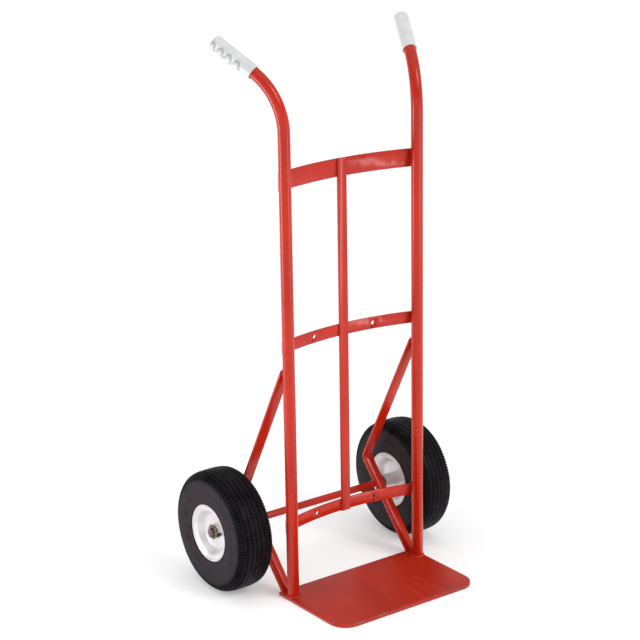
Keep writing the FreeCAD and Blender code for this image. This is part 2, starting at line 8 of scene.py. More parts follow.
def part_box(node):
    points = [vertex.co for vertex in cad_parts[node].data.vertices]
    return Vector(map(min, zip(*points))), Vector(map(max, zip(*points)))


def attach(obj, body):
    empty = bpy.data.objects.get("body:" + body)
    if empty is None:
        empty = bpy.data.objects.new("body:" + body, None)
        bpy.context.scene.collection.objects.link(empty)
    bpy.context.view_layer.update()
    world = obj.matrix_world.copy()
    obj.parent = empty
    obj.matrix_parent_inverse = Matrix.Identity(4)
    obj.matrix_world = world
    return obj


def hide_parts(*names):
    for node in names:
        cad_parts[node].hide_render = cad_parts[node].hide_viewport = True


# The looks of a two-wheeled hand truck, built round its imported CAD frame.
# Metres. +X is to the right of someone who faces the toe plate, +Y to the back, +Z up.

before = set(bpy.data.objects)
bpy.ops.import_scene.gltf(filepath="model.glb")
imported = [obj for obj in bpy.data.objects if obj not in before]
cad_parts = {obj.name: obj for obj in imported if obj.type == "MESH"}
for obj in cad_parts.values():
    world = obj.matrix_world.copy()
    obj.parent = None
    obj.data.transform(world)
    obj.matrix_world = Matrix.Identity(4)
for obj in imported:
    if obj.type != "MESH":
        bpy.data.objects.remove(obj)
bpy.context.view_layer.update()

MM = 0.001
QUARTER_TURN = math.pi / 2
SIDES = (("left", -1), ("right", 1))
X, Y, Z = Vector((1, 0, 0)), Vector((0, 1, 0)), Vector((0, 0, 1))


def middle(name):
    """The centre of a CAD node's box."""
    low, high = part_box(name)
    return (low + high) / 2


def extent(name):
    """The size of a CAD node's box."""
    low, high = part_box(name)
    return high - low


# Places taken from the frame.
AXLE = middle("axle")
AXLE_RADIUS = extent("axle").z / 2
PLATE_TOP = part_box("toe_plate")[1].z
PLATE_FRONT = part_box("toe_plate")[0].y
UPRIGHT_X = middle("right_axle_bracket").x
BRACKET_HALF_WIDTH = extent("right_axle_bracket").x / 2
WHEEL_X = middle("right_tyre").x
TYRE_RADIUS = AXLE.z

# Sizes shared with the frame.
TUBE_RADIUS = 12.7 * MM
UPRIGHT_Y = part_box("left_upright")[0].y + TUBE_RADIUS
HANDLE_BEND_RADIUS = 140 * MM
HANDLE_BEND_HEIGHT = 998 * MM
HANDLE_BEND = math.radians(57.5)
HANDLE_SPLAY = math.radians(26)
HANDLE_STRAIGHT = 102 * MM
GRIP_TURN = math.radians(50)
BRACKET_THICKNESS = 4.8 * MM
BRACKET_BEND = Vector((0, UPRIGHT_Y + 177 * MM, 187.5 * MM))


# ---------------------------------------------------------------- meshes


def add_mesh(name, points, faces):
    """A smooth-shaded mesh object from lists of points and faces."""
    mesh = bpy.data.meshes.new(name)
    mesh.from_pydata([tuple(point) for point in points], [], faces)
    mesh.update()
    shape = bmesh.new()
    shape.from_mesh(mesh)
    bmesh.ops.recalc_face_normals(shape, faces=shape.faces)
    shape.to_mesh(mesh)
    shape.free()
    mesh.shade_smooth()
    piece = bpy.data.objects.new(name, mesh)
    bpy.context.scene.collection.objects.link(piece)
    return piece


def grid_faces(rows, columns, wrap_rows, wrap_columns):
    """Quads between the points of a grid, listed row by row."""
    faces = []
    for row in range(rows if wrap_rows else rows - 1):
        for column in range(columns if wrap_columns else columns - 1):
            below, beside = (row + 1) % rows, (column + 1) % columns
            faces.append((
                row * columns + column,
                row * columns + beside,
                below * columns + beside,
                below * columns + column,
            ))
    return faces


def full_turn(steps):
    """Evenly spaced angles round a circle."""
    return [math.tau * step / steps for step in range(steps)]


def finish_piece(piece, body, material):
    """Gives a piece its body and its material."""
    piece.data.materials.append(material)
    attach(piece, body)


def rounded(corners, radius):
    """A closed outline with each corner replaced by a curve of up to that radius."""
    steps, longest_share = 5, 0.45
    outline = []
    count = len(corners)
    for number, corner in enumerate(corners):
        corner = Vector(corner)
        before = Vector(corners[number - 1]) - corner
        after = Vector(corners[(number + 1) % count]) - corner
        wanted = radius / math.tan(before.angle(after) / 2)
        reach = min(wanted, longest_share * before.length, longest_share * after.length)
        start = corner + before.normalized() * reach
        end = corner + after.normalized() * reach
        for step in range(steps + 1):
            share = step / steps
            outline.append(start.lerp(corner, share).lerp(corner.lerp(end, share), share))
    return outline


def on_wheel(side, across, radius, turn):
    """A point of a wheel: distance outwards from the tyre's middle plane, radius and angle."""
    return Vector((
        side * (WHEEL_X + across),
        AXLE.y + radius * math.cos(turn),
        AXLE.z + radius * math.sin(turn),
    ))


# ---------------------------------------------------------------- materials


class Shader:
    """A principled material that grows by one node with each call."""

    def __init__(self, name, **settings):
        self.material = bpy.data.materials.new(name)
        self.material.use_nodes = True
        self.tree = self.material.node_tree
        self.surface = self.tree.nodes["Principled BSDF"]
        for words, number in settings.items():
            self.surface.inputs[words.replace("_", " ")].default_value = number
        self.place = self.tree.nodes.new("ShaderNodeTexCoord").outputs["Object"]

    def put(self, socket, value):
        """Links a node's output, or sets a constant."""
        if isinstance(value, bpy.types.NodeSocket):
            self.tree.links.new(value, socket)
        else:
            socket.default_value = value

    def node(self, kind, values):
        """A new node with its first sockets filled."""
        node = self.tree.nodes.new(kind)
        for socket, value in zip(node.inputs, values):
            self.put(socket, value)
        return node

    def maths(self, operation, *values):
        node = self.node("ShaderNodeMath", values)
        node.operation = operation
        return node.outputs[0]

    def vector(self, operation, *values):
        node = self.node("ShaderNodeVectorMath", values)
        node.operation = operation
        return node.outputs["Vector"]

    def part(self, vector, letter):
        """The X, Y or Z of a vector."""
        return self.node("ShaderNodeSeparateXYZ", [vector]).outputs[letter]

    def noise(self, size, detail=2.0, roughness=0.5, place=None):
        """Cloudy noise from 0 to 1 whose blobs are about that many metres across."""
        node = self.node("ShaderNodeTexNoise", [place or self.place])
        node.inputs["Scale"].default_value = 1 / size
        node.inputs["Detail"].default_value = detail
        node.inputs["Roughness"].default_value = roughness
        return node.outputs[0]

    def span(self, value, low, high, to_low=0.0, to_high=1.0):
        """Maps low to high onto a new range, with a soft start and end, clamped."""
        node = self.node("ShaderNodeMapRange", (value, low, high, to_low, to_high))
        node.interpolation_type = "SMOOTHSTEP"
        return node.outputs[0]

    def blend(self, share, one, other):
        """A mix of two colours."""
        node = self.tree.nodes.new("ShaderNodeMix")
        node.data_type = "RGBA"
        self.put(node.inputs["Factor"], share)
        for socket, value in zip((node.inputs[6], node.inputs[7]), (one, other)):
            self.put(socket, (*value, 1) if isinstance(value, tuple) else value)
        return node.outputs[2]

    def stain(self, colour, over, mask, strength):
        """One colour laid over another where the mask is 1, no denser than that strength."""
        return self.blend(self.maths("MULTIPLY", mask, strength), colour, over)

    def bump(self, height, depth, under=None):
        """Bends the normal by a height field, whose full range stands for that many metres."""
        node = self.tree.nodes.new("ShaderNodeBump")
        node.inputs["Strength"].default_value = 1
        node.inputs["Distance"].default_value = depth
        self.put(node.inputs["Height"], height)
        if under:
            self.put(node.inputs["Normal"], under)
        return node.outputs[0]

    def finish(self, colour, roughness, normal, metallic=None):
        """Joins the looks to the surface and returns the material."""
        self.put(self.surface.inputs["Base Color"], colour)
        self.put(self.surface.inputs["Roughness"], roughness)
        self.put(self.surface.inputs["Normal"], normal)
        if metallic:
            self.put(self.surface.inputs["Metallic"], metallic)
        return self.material


def enamel_paint(shader, dark=(0.45, 0.0125, 0.0016), bright=(0.53, 0.019, 0.0032)):
    """Gloss red enamel with a soft orange peel. Returns colour, roughness and normal."""
    clouds = shader.noise(140 * MM, detail=3)
    rub = shader.noise(14 * MM, detail=6, roughness=0.7)
    peel = shader.noise(2.2 * MM, detail=1)
    runs = shader.noise(14 * MM, detail=1)
    colour = shader.blend(shader.span(clouds, 0.3, 0.7), dark, bright)
    dullness = shader.span(rub, 0.45, 0.8, 0.24, 0.33)
    normal = shader.bump(peel, 0.02 * MM, shader.bump(runs, 0.10 * MM))
    return colour, dullness, normal


def speckle(shader, size, share):
    """1 on scattered small spots, which are more and larger as the share grows, else 0."""
    spots = shader.noise(size, detail=3, roughness=0.65)
    patches = shader.noise(12 * size, detail=2)
    crowded = shader.maths("MULTIPLY_ADD", patches, 0.35, spots)
    threshold, softness = 0.93 - share, 0.03
    return shader.span(crowded, threshold, threshold + softness)


def red_enamel():
    """The frame's paint, with fine dust specks."""
    shader = Shader("red_enamel", Specular_IOR_Level=0.2, Coat_Weight=0.35, Coat_Roughness=0.14)
    paint, dullness, normal = enamel_paint(shader)
    dust = speckle(shader, 1.6 * MM, 0.02)
    colour = shader.stain(paint, (0.50, 0.12, 0.08), dust, 0.2)
    return shader.finish(colour, shader.maths("MULTIPLY_ADD", dust, 0.15, dullness), normal)


def plate_enamel():
    """The toe plate's paint: scuffed where loads slide over it, chipped along its front edge."""
    shader = Shader("plate_enamel", Specular_IOR_Level=0.25, Coat_Weight=0.1, Coat_Roughness=0.25)
    paint, dullness, normal = enamel_paint(
        shader, dark=(0.37, 0.014, 0.003), bright=(0.47, 0.021, 0.005)
    )
    drawn_out = shader.vector("MULTIPLY", shader.place, (1, 0.08, 1))
    scuff = shader.span(shader.noise(7 * MM, detail=5, place=drawn_out), 0.52, 0.75)
    back = shader.part(shader.place, "Y")
    chipped_depth = 14 * MM
    near_front = shader.span(back, PLATE_FRONT, PLATE_FRONT + chipped_depth, 1.0, 0.0)
    chips = shader.maths("MULTIPLY", speckle(shader, 3.0 * MM, 0.16), near_front)
    worn = shader.stain(paint, (0.46, 0.10, 0.07), scuff, 0.22)
    return shader.finish(
        shader.blend(chips, worn, (0.16, 0.13, 0.12)),
        shader.maths("MULTIPLY_ADD", scuff, 0.22, shader.maths("ADD", dullness, 0.1)),
        shader.bump(shader.maths("MULTIPLY", chips, -1.0), 0.12 * MM, normal),
        metallic=shader.maths("MULTIPLY", chips, 0.7),
    )


def axle_finish():
    """Red enamel between the brackets and bare, dulled steel outside them."""
    shader = Shader("axle_finish", Specular_IOR_Level=0.35)
    paint, dullness, normal = enamel_paint(shader)
    from_middle = shader.maths("ABSOLUTE", shader.part(shader.place, "X"))
    wavy = shader.maths("MULTIPLY_ADD", shader.noise(5 * MM), 2 * MM, from_middle)
    edge = UPRIGHT_X + BRACKET_HALF_WIDTH
    bare = shader.span(wavy, edge, edge + 2 * MM)
    tarnish = shader.span(shader.noise(6 * MM, detail=5, roughness=0.7), 0.35, 0.7)
    steel = shader.blend(tarnish, (0.20, 0.17, 0.15), (0.09, 0.055, 0.04))
    return shader.finish(
        shader.blend(bare, paint, steel),
        shader.maths("MULTIPLY_ADD", bare, 0.15, dullness),
        normal,
        metallic=shader.maths("MULTIPLY", bare, 0.85),
    )


def grip_plastic():
    """Near-white moulded plastic with faint handling marks, and painted shade darkening the creases
    between its waves.
    """
    shader = Shader("grip_plastic", IOR=1.5)
    clouds = shader.span(shader.noise(25 * MM, detail=3), 0.3, 0.7)
    plain = shader.blend(clouds, (0.64, 0.65, 0.66), (0.72, 0.72, 0.72))
    grime = shader.span(shader.noise(5 * MM, detail=6, roughness=0.75), 0.55, 0.8)
    handled = shader.stain(plain, (0.40, 0.38, 0.37), grime, 0.25)
    # Painted shade: the attribute read here darkens the creases between the waves, standing in for
    # the shade that falls there.
    crease_shade = shader.tree.nodes.new("ShaderNodeAttribute")
    crease_shade.attribute_name = "crease_shade"
    return shader.finish(
        shader.stain(handled, (0.13, 0.12, 0.12), crease_shade.outputs["Fac"], 0.5),
        shader.span(grime, 0.0, 1.0, 0.24, 0.42),
        shader.bump(shader.noise(0.9 * MM, detail=2), 0.02 * MM),
    )


def tyre_rubber():
    """Satin black rubber with a lighter brown sidewall, partly bloom and partly painted sheen, and
    pale dust caught in the grooves.
    """
    shader = Shader("tyre_rubber", Specular_IOR_Level=0.08)
    from_axle = shader.vector("SUBTRACT", shader.place, tuple(AXLE))
    squares = [shader.maths("POWER", shader.part(from_axle, letter), 2.0) for letter in "YZ"]
    radius = shader.maths("SQRT", shader.maths("ADD", *squares))
    clouds = shader.span(shader.noise(30 * MM, detail=4), 0.3, 0.7)
    black = shader.blend(clouds, (0.004, 0.0034, 0.0045), (0.011, 0.009, 0.0115))
    # Painted sheen and bloom: the whole sidewall is a little lighter and browner, more so in random
    # patches.
    on_sidewall = shader.span(radius, TYRE_RADIUS - 26 * MM, TYRE_RADIUS - 14 * MM, 1.0, 0.0)
    patches = shader.span(shader.noise(18 * MM, detail=5, roughness=0.65), 0.35, 0.7)
    bloom_and_sheen = shader.maths("MULTIPLY", on_sidewall, shader.maths("MULTIPLY_ADD", patches, 0.5, 0.2))
    rubber = shader.blend(bloom_and_sheen, black, (0.046, 0.031, 0.038))
    dust = shader.span(shader.noise(3 * MM, detail=6, roughness=0.7), 0.56, 0.78)
    below_ribs = shader.span(radius, TYRE_RADIUS - 4 * MM, TYRE_RADIUS - 1 * MM, 0.3, 0.0)
    grain = shader.noise(0.8 * MM, detail=3)
    swell = shader.noise(9 * MM, detail=2)
    return shader.finish(
        shader.blend(shader.maths("MULTIPLY", dust, below_ribs), rubber, (0.05, 0.042, 0.045)),
        shader.span(patches, 0.0, 1.0, 0.42, 0.58),
        shader.bump(grain, 0.06 * MM, shader.bump(swell, 0.5 * MM)),
    )


def rim_enamel():
    """Silver enamel on stamped steel: fine flake, soft dents and a little road dust."""
    shader = Shader("rim_enamel", Metallic=0.4, Coat_Weight=0.3, Coat_Roughness=0.15)
    flake = shader.noise(0.7 * MM, detail=2, roughness=0.8)
    clouds = shader.noise(22 * MM, detail=3)
    dust = shader.span(shader.noise(6 * MM, detail=6, roughness=0.7), 0.58, 0.82)
    silver = shader.blend(shader.span(clouds, 0.3, 0.7), (0.58, 0.55, 0.56), (0.69, 0.66, 0.67))
    glinting = shader.blend(shader.span(flake, 0.4, 0.75, 0.0, 0.3), silver, (0.85, 0.83, 0.84))
    return shader.finish(
        shader.stain(glinting, (0.38, 0.33, 0.31), dust, 0.45),
        shader.span(dust, 0.0, 1.0, 0.30, 0.55),
        shader.bump(flake, 0.015 * MM, shader.bump(clouds, 0.2 * MM)),
    )


def stained_metal(name, pale, brown, shine):
    """Bare or thinly plated metal that has begun to brown."""
    shader = Shader(name, Metallic=0.9)
    cloud = shader.noise(4 * MM, detail=6, roughness=0.7)
    browned = shader.span(cloud, 0.38, 0.62)
    return shader.finish(
        shader.blend(browned, pale, brown),
        shader.maths("MULTIPLY_ADD", browned, 0.25, shine),
        shader.bump(cloud, 0.08 * MM),
    )


def soft_black(name, tone, gloss):
    """Matt black rubber or plastic with a fine grain and grey dust."""
    shader = Shader(name, Specular_IOR_Level=0.35)
    dust = shader.span(shader.noise(1.5 * MM, detail=6, roughness=0.7), 0.5, 0.8)
    return shader.finish(
        shader.stain((tone, tone, tone), (0.10, 0.09, 0.085), dust, 0.3),
        shader.maths("MULTIPLY_ADD", dust, 0.15, gloss),
        shader.bump(shader.noise(0.6 * MM), 0.03 * MM),
    )


RED = red_enamel()
PLASTIC = grip_plastic()
RUBBER = tyre_rubber()
SILVER = rim_enamel()
PLATED = stained_metal("plated_steel", (0.30, 0.25, 0.21), (0.13, 0.085, 0.06), 0.32)
BEARING = stained_metal("bearing_steel", (0.15, 0.11, 0.085), (0.07, 0.042, 0.028), 0.35)
BRASS = stained_metal("brass", (0.48, 0.34, 0.14), (0.22, 0.14, 0.06), 0.3)
CAP = soft_black("cap_plastic", 0.012, 0.4)
TUBE_RUBBER = soft_black("tube_rubber", 0.03, 0.6)

# The material of each CAD node, by the ending of the node's name.
NODE_MATERIALS = {
    "toe_plate": plate_enamel(),
    "cross_member": RED,
    "centre_strap": RED,
    "upright": RED,
    "axle_bracket": RED,
    "axle": axle_finish(),
    "inner_washer": PLATED,
    "outer_washer": PLATED,
    "split_pin": PLATED,
    "inner_tube": TUBE_RUBBER,
    "rim_band": SILVER,
    "hub_sleeve": SILVER,
    "bushing": BEARING,
    "valve_stem": BRASS,
}


def dress_frame():
    """Gives the CAD nodes their materials and slightly eased edges."""
    for name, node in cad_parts.items():
        endings = [ending for ending in NODE_MATERIALS if name.endswith(ending)]
        if not endings:
            continue
        node.data.materials.clear()
        node.data.materials.append(NODE_MATERIALS[max(endings, key=len)])
        node.data.shade_smooth()
        node.data.normals_split_custom_set([(0, 0, 0)] * len(node.data.loops))
        weld = node.modifiers.new("joined", "WELD")
        weld.merge_threshold = 0.01 * MM
        ease = node.modifiers.new("eased", "BEVEL")
        ease.width = 0.5 * MM
        ease.use_clamp_overlap = False
        ease.segments = 2
        ease.angle_limit = math.radians(35)
        ease.harden_normals = True


# ---------------------------------------------------------------- weld beads

FILLET = 1.9 * MM
LIFT = 0.3 * MM


def loop_path(centre, along, beside, half_along, half_beside):
    """A closed rectangle with rounded corners, spanned by two unit vectors about a centre."""
    signs = ((-1, -1), (1, -1), (1, 1), (-1, 1))
    corners = [(one * half_along, other * half_beside) for one, other in signs]
    flat = rounded(corners, min(half_along, half_beside) / 2)
    return [centre + along * one + beside * other for one, other in flat]


def ring_path(centre, along, beside, radius):
    """A circle in the plane of two unit vectors about a centre."""
    steps = 48
    return [
        centre + (along * math.cos(turn) + beside * math.sin(turn)) * radius
        for turn in full_turn(steps)
    ]


def resampled(path, step):
    """The closed path's points, evenly spaced."""
    points = []
    ends = path[1:] + path[:1]
    total = sum((end - start).length for start, end in zip(path, ends))
    count = round(total / step)
    wanted = [total * number / count for number in range(count)]
    travelled = 0.0
    for start, end in zip(path, ends):
        length = (end - start).length
        while wanted and wanted[0] < travelled + length:
            points.append(start.lerp(end, (wanted.pop(0) - travelled) / length))
        travelled += length
    return points


def weld_bead(name, path, radius, body="frame", material=RED):
    """A closed, rippled bead of weld along a path, half sunk in the joint that it fills."""
    ripple_length, steps_per_ripple, sides = 2.4 * MM, 4, 10
    ripple_height, unevenness, uneven_turn = 0.16, 0.05, 0.61
    spine = resampled(path, ripple_length / steps_per_ripple)
    count = len(spine)
    centre = sum(spine, Vector()) / count
    points = []
    for number, here in enumerate(spine):
        ahead = (spine[(number + 1) % count] - spine[number - 1]).normalized()
        outwards = (here - centre).cross(ahead).cross(ahead).normalized()
        upwards = outwards.cross(ahead)
        crest = (number % steps_per_ripple) / (steps_per_ripple - 1)
        size = radius * (1 - ripple_height * (1 - crest))
        size *= 1 + unevenness * math.sin(number * uneven_turn)
        for turn in full_turn(sides):
            points.append(here + (outwards * math.cos(turn) + upwards * math.sin(turn)) * size)
    bead = add_mesh(name, points, grid_faces(count, sides, True, True))
    finish_piece(bead, body, material)


def weld_uprights():
    """Round the foot of each upright, on the toe plate."""
    bead_radius, path_radius = 2.6 * MM, TUBE_RADIUS + 0.4 * MM
    for word, side in SIDES:
        foot = Vector((side * UPRIGHT_X, UPRIGHT_Y, PLATE_TOP + LIFT))
        weld_bead(f"{word}_upright_weld", ring_path(foot, X, Y, path_radius), bead_radius)


def weld_cross_members():
    """Round the end of each bowed bar where it lies against the back of an upright, and round the
    centre strap's back where it crosses the bar."""
    inner = UPRIGHT_X - 5 * MM
    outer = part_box("upper_cross_member")[1].x + 0.4 * MM
    tube_back = UPRIGHT_Y + TUBE_RADIUS + LIFT
    strap_bead, strap_sink, strap_inset = 1.3 * MM, 0.7 * MM, 1.2 * MM
    strap_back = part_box("centre_strap")[1].y - strap_sink
    half_strap = extent("centre_strap").x / 2 + LIFT
    for name in ("upper", "middle", "lower"):
        height = middle(f"{name}_cross_member").z
        half_height = extent(f"{name}_cross_member").z / 2
        for word, side in SIDES:
            at_tube = Vector((side * (inner + outer) / 2, tube_back, height))
            path = loop_path(at_tube, X, Z, (outer - inner) / 2, half_height)
            weld_bead(f"{name}_{word}_bar_weld", path, FILLET)
        at_strap = Vector((0, strap_back, height))
        path = loop_path(at_strap, X, Z, half_strap, half_height - strap_inset)
        weld_bead(f"{name}_strap_weld", path, strap_bead)


def leg_direction():
    """The way a bracket's lower leg runs up to the bend, lying on top of the axle."""
    to_bend = BRACKET_BEND - Vector((0, AXLE.y, AXLE.z))
    lean = math.atan2(to_bend.y, to_bend.z)
    lean += math.asin((BRACKET_THICKNESS + AXLE_RADIUS) / to_bend.length)
    return Vector((0, math.sin(lean), math.cos(lean)))


def bracket_foot(leg):
    """The middle of the lower leg where it meets the toe plate, at x 0."""
    front = BRACKET_BEND - leg * (BRACKET_BEND.z - PLATE_TOP) / leg.z
    return front + Y * BRACKET_THICKNESS / leg.z / 2


def weld_brackets():
    """Both ends of each V bracket, and its lower leg where it crosses the axle."""
    leg = leg_direction()
    leg_normal = Vector((0, -leg.z, leg.y)).normalized()
    top_bead, top_half_width, top_half_height = 2.3 * MM, 7.5 * MM, BRACKET_THICKNESS + 1 * MM
    foot_half_depth = 0.68 * BRACKET_THICKNESS
    axle_half_length, axle_sink = 4.6 * MM, 0.9 * MM
    for word, side in SIDES:
        across = X * side * UPRIGHT_X
        top_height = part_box(f"{word}_axle_bracket")[1].z - BRACKET_THICKNESS
        top = across + Y * (UPRIGHT_Y + TUBE_RADIUS - 0.5 * MM) + Z * top_height
        foot = across + bracket_foot(leg) + Z * LIFT
        crossing = across + Y * AXLE.y + Z * AXLE.z + leg_normal * (AXLE_RADIUS - axle_sink)
        top_path = loop_path(top, X, Z, top_half_width, top_half_height)
        foot_path = loop_path(foot, X, Y, BRACKET_HALF_WIDTH, foot_half_depth)
        axle_path = loop_path(crossing, X, leg, BRACKET_HALF_WIDTH + LIFT, axle_half_length)
        weld_bead(f"{word}_bracket_top_weld", top_path, top_bead)
        weld_bead(f"{word}_bracket_foot_weld", foot_path, FILLET)
        weld_bead(f"{word}_axle_weld", axle_path, FILLET)


# ---------------------------------------------------------------- grips

GRIP_LENGTH = HANDLE_STRAIGHT + 4 * MM
GRIP_RADIUS = 15.4 * MM
GRIP_BORE = TUBE_RADIUS + 0.1 * MM
WAVES = 4
WAVE_PITCH = 21.2 * MM
WAVE_RADIUS = 13.2 * MM
WAVE_DROP = 5.8 * MM
FIRST_WAVE = 8.5 * MM


def grip_reaches(from_tip, turn):
    """How far from the axis the sleeve and each ball of the waves come, the farthest last."""
    found = [0.0, GRIP_RADIUS]
    for wave in range(WAVES):
        beside = from_tip - FIRST_WAVE - wave * WAVE_PITCH
        inside = WAVE_RADIUS ** 2 - beside ** 2 - (WAVE_DROP * math.sin(turn)) ** 2
        if inside > 0:
            found.append(WAVE_DROP * math.cos(turn) + math.sqrt(inside))
    return sorted(found)


def grip_size(along, turn):
    """The grip's radius with its waves, flared mouth, seams down both sides and rounded end."""
    flare_height, flare_length = 0.5 * MM, 3 * MM
    seam_height, seam_width = 0.18 * MM, 0.05
    end_round, fullness = 8.5 * MM, 2.4
    lip_round, lip_drop = 1.2 * MM, 0.6 * MM
    from_tip = GRIP_LENGTH - along
    from_seam = abs(abs(turn - math.pi) - QUARTER_TURN)
    size = grip_reaches(from_tip, turn)[-1]
    size += flare_height * math.exp(-(along / flare_length) ** 2)
    size += seam_height * math.exp(-(from_seam / seam_width) ** 2)
    if from_tip < end_round:
        size *= (1 - (1 - from_tip / end_round) ** fullness) ** (1 / fullness)
    if along < lip_round:
        size -= lip_drop * (1 - along / lip_round) ** 2
    return size


def grip_stations():
    """Distances from the mouth to the tip, closer together at the very end."""
    rings, tip_rings, tip_length = 156, 14, 1.02 * MM
    even = [GRIP_LENGTH * ring / rings for ring in range(rings)]
    tip = [
        GRIP_LENGTH - tip_length * (1 - ring / (tip_rings - 1)) ** 2 for ring in range(tip_rings)
    ]
    return sorted(even + tip)


def make_grip(word, side):
    """A closed sleeve on the end of a handle. Its four finger waves face down, forwards and
    outwards."""
    heading = Vector((side * math.sin(HANDLE_SPLAY), math.cos(HANDLE_SPLAY), 0))
    mouth = Vector((side * UPRIGHT_X, UPRIGHT_Y, HANDLE_BEND_HEIGHT))
    mouth += heading * HANDLE_BEND_RADIUS * (1 - math.cos(HANDLE_BEND))
    mouth += Z * HANDLE_BEND_RADIUS * math.sin(HANDLE_BEND)
    axis = heading * math.sin(HANDLE_BEND) + Z * math.cos(HANDLE_BEND)
    below = heading * math.cos(HANDLE_BEND) - Z * math.sin(HANDLE_BEND)
    waves_face = below * math.cos(GRIP_TURN) - axis.cross(below) * side * math.sin(GRIP_TURN)
    beside = axis.cross(waves_face)
    turns = full_turn(72)
    bore_depth, crease_width = 10 * MM, 1.3 * MM

    def place(along, turn, size):
        return mouth + axis * along + (waves_face * math.cos(turn) + beside * math.sin(turn)) * size

    points = [place(along, turn, GRIP_BORE) for along in (bore_depth, 0.0) for turn in turns]
    # Painted shade: each point's share of the darkening in the creases, strongest where two waves
    # meet, none in the bore.
    crease_shades = [0.0] * len(points)
    for along in grip_stations():
        for turn in turns:
            second, farthest = grip_reaches(GRIP_LENGTH - along, turn)[-2:]
            crease_shades.append(math.exp(-((farthest - second) / crease_width) ** 2))
            points.append(place(along, turn, grip_size(along, turn)))
    rows = len(points) // len(turns)
    grip = add_mesh(f"{word}_grip_sleeve", points, grid_faces(rows, len(turns), False, True))
    grip.data.attributes.new("crease_shade", "FLOAT", "POINT").data.foreach_set("value", crease_shades)
    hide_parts(f"{word}_grip")
    finish_piece(grip, "frame", PLASTIC)


# ---------------------------------------------------------------- tyres

TYRE_HALF_WIDTH = 43 * MM
SIDEWALL_CENTRE = 99 * MM
SQUARENESS = 3.5
WALL_FULLNESS = 0.7
BEAD_ACROSS = 39 * MM
BEAD_RADIUS = 61 * MM
PITCHES = 120
RIB = 11 * MM
GROOVE_DEPTH = 4.5 * MM
GROOVE_TOP = 1.5 * MM
GROOVE_BOTTOM = 0.9 * MM
ZIGZAG_REACH = 2.4 * MM
LUG_DEPTH = 3.6 * MM

# The casing's inner face, from the toe of the bead to under the crown: across and radius, in mm.
CASING_INSIDE = (
    (35.2, 53), (27.5, 53), (29, 61.5), (31, 70), (36, 84), (36, 104), (29, 116), (14, 123.5),
    (0, 123.5),
)


def carcass(station):
    """Outer surface of the tyre's outboard half: station 0 is the crown, 1 the widest place and 2
    the bead."""
    if station <= 1:
        turn = station * QUARTER_TURN
        across = TYRE_HALF_WIDTH * math.sin(turn) ** (2 / SQUARENESS)
        rise = (TYRE_RADIUS - SIDEWALL_CENTRE) * math.cos(turn) ** (2 / SQUARENESS)
        radius = SIDEWALL_CENTRE + rise
    else:
        turn = (station - 1) * QUARTER_TURN
        bulge = max(0.0, math.cos(turn)) ** WALL_FULLNESS
        across = BEAD_ACROSS + (TYRE_HALF_WIDTH - BEAD_ACROSS) * bulge
        radius = SIDEWALL_CENTRE - (SIDEWALL_CENTRE - BEAD_RADIUS) * math.sin(turn)
    return Vector((across, radius))


def station_across(across):
    """The station of the tread or shoulder at that distance from the middle plane."""
    return math.asin((across / TYRE_HALF_WIDTH) ** (SQUARENESS / 2)) / QUARTER_TURN


def station_radius(radius):
    """The station of the sidewall at that radius."""
    depth = (SIDEWALL_CENTRE - radius) / (SIDEWALL_CENTRE - BEAD_RADIUS)
    return 1 + math.asin(depth) / QUARTER_TURN


# The lines that run round the tyre's outboard half are called columns. Each one is its station,
# how far it lies below the surface, its share of the zig-zag and its share of the lug gaps.


def tread_columns():
    """The crown and the sides of the grooves, out from the middle."""
    grooves = 3
    columns = [(0.0, 0.0, 0.0, 0.0)]
    for number in range(grooves):
        centre = (number + 0.5) * RIB
        zigzag = (-1) ** number
        columns += [
            (station_across(centre - GROOVE_TOP), 0.0, zigzag, 0.0),
            (station_across(centre - GROOVE_BOTTOM), GROOVE_DEPTH, zigzag, 0.0),
            (station_across(centre + GROOVE_BOTTOM), GROOVE_DEPTH, zigzag, 0.0),
            (station_across(centre + GROOVE_TOP), 0.0, zigzag, 0.0),
        ]
        if number < grooves - 1:
            columns.append((station_across(centre + RIB / 2), 0.0, 0.0, 0.0))
    return columns


def shoulder_columns():
    """The comb of lugs, whose gaps start abruptly beside the tread and run out on the sidewall."""
    # Distance from the middle plane in mm, and the share of the gaps' full depth there.
    gaps = ((32.6, 0.0), (33, 1.0), (36, 1.0), (39, 1.0), (41, 1.0), (41.8, 0.9), (42.1, 0.0))
    columns = [(station_across(across * MM), 0.0, 0.0, share) for across, share in gaps]
    below_lugs = 0.93
    return columns + [(below_lugs, 0.0, 0.0, 0.0)]


def sidewall_columns():
    """A plain wall with two thin raised rings: one halfway up and a broader one above the rim."""
    plain = (1.0, 1.06, 1.12, 1.27, 1.34, 1.42, 1.5, 1.58, 1.78, 1.88, 2.0)
    rings = ((88 * MM, 0.9 * MM, 0.8 * MM), (66 * MM, 1.6 * MM, 0.9 * MM))
    wall = [(station, 0.0) for station in plain]
    for radius, half_width, height in rings:
        # Distance from the ring's middle in half widths, and the height there.
        profile = ((2.2, 0.0), (1.0, height), (0.0, height), (-1.0, height), (-2.2, 0.0))
        for offset, rise in profile:
            wall.append((station_radius(radius + offset * half_width), -rise))
    return [(station, sink, 0.0, 0.0) for station, sink in sorted(wall)]


def tyre_section(columns, zigzag, gap):
    """The casing's closed outline at one place round the tread, as (across, radius) pairs."""
    nudge = 0.001
    outboard, inboard = [], []
    for station, sink, zigzag_share, gap_share in columns:
        surface = carcass(station)
        along = carcass(station + nudge) - carcass(max(0.0, station - nudge))
        inwards = Vector((-along.y, along.x)).normalized()
        if inwards.dot(surface - Vector((0, SIDEWALL_CENTRE))) > 0:
            inwards = -inwards
        here = surface + inwards * (sink + gap_share * gap * LUG_DEPTH)
        shift = zigzag_share * zigzag * ZIGZAG_REACH
        outboard.append((shift + here.x, here.y))
        inboard.append((shift - here.x, here.y))
    inside = [(across * MM, radius * MM) for across, radius in CASING_INSIDE]
    inside_back = [(-across, radius) for across, radius in inside[:-1]]
    return outboard + inside + inside_back[::-1] + inboard[:0:-1]


